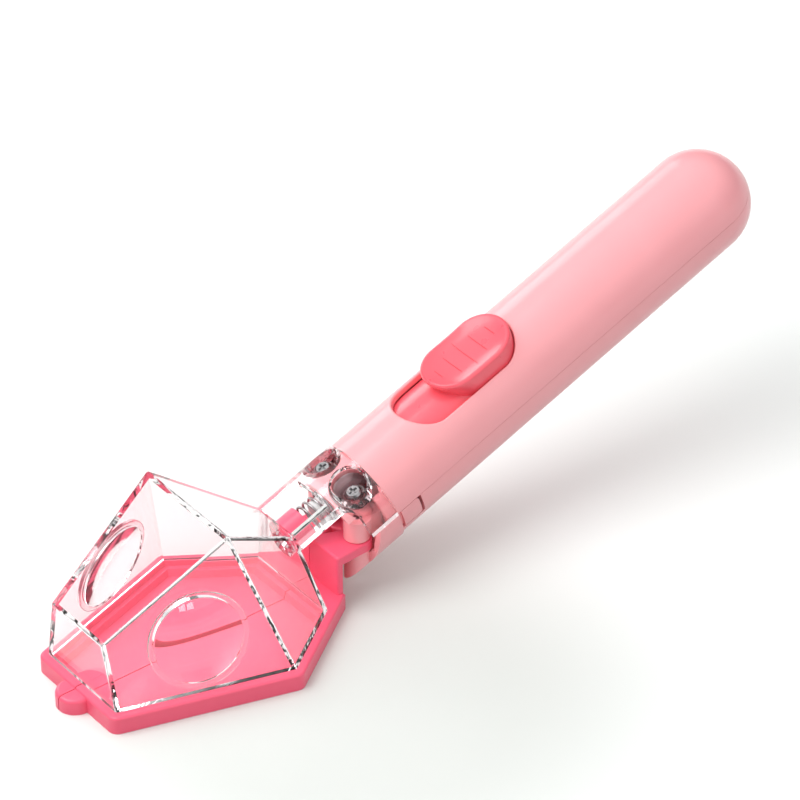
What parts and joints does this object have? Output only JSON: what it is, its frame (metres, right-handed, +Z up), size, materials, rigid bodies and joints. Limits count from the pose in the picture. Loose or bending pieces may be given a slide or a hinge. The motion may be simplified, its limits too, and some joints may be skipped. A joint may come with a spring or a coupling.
{
  "type": "bug catcher",
  "caption": "Hand-held bug catcher: a clear faceted trap with magnifier lenses on a slanted handle; a sprung thumb slider swings two tray doors open beneath it.",
  "frame": {"origin": "on the floor, on the parting line of the two doors, under the middle of the trap's roof ridge", "axes": "+X from the trap towards the handle, +Z up, Y = 0 is the plane of symmetry, the near side of the picture is -Y"},
  "size_m": [0.2334, 0.065, 0.0846],
  "materials": {
    "clear_plastic": "clear, polished",
    "door_pink": "coral pink, satin gloss",
    "handle_pink": "light pink, satin gloss",
    "slider_coral": "coral, satin gloss",
    "rod_plastic": "natural, satin",
    "steel": "zinc plated"
  },
  "bodies": {
    "body": {"clear_head": "clear_plastic", "near_lens": "clear_plastic", "far_lens": "clear_plastic", "neck_cover": "handle_pink", "hinge_pins": "steel", "collar_screws": "steel", "handle_top_shell": "handle_pink", "handle_bottom_shell": "handle_pink", "shell_screws": "steel", "spring_cup": "door_pink", "return_spring": "steel"},
    "slider": {"thumb_slider": "slider_coral", "push_rod": "rod_plastic", "slider_screw": "steel", "drive_pin": "steel"},
    "near_door": {"near_door": "door_pink"},
    "far_door": {"far_door": "door_pink"}
  },
  "joints": [
    {"name": "thumb_slide", "type": "slide", "parent": "body", "child": "slider", "axis": [-0.933, 0, -0.36], "range_m": [0, 0.008], "stiffness_N_per_m": 200, "springref_m": -0.005, "deforming": ["return_spring"]},
    {"name": "near_door_hinge", "type": "hinge", "parent": "body", "child": "near_door", "pos_m": [0.0496, -0.00775, 0.0164], "axis": [0, 0, 1], "range_deg": [0, 51.43]},
    {"name": "far_door_hinge", "type": "hinge", "parent": "body", "child": "far_door", "pos_m": [0.0496, 0.00775, 0.0133], "axis": [0, 0, 1], "range_deg": [-51.43, 0]}
  ],
  "couplings": [
    {"joint": "near_door_hinge", "follows": "thumb_slide", "rad_per_m": 112.19},
    {"joint": "far_door_hinge", "follows": "thumb_slide", "rad_per_m": -112.19}
  ]
}
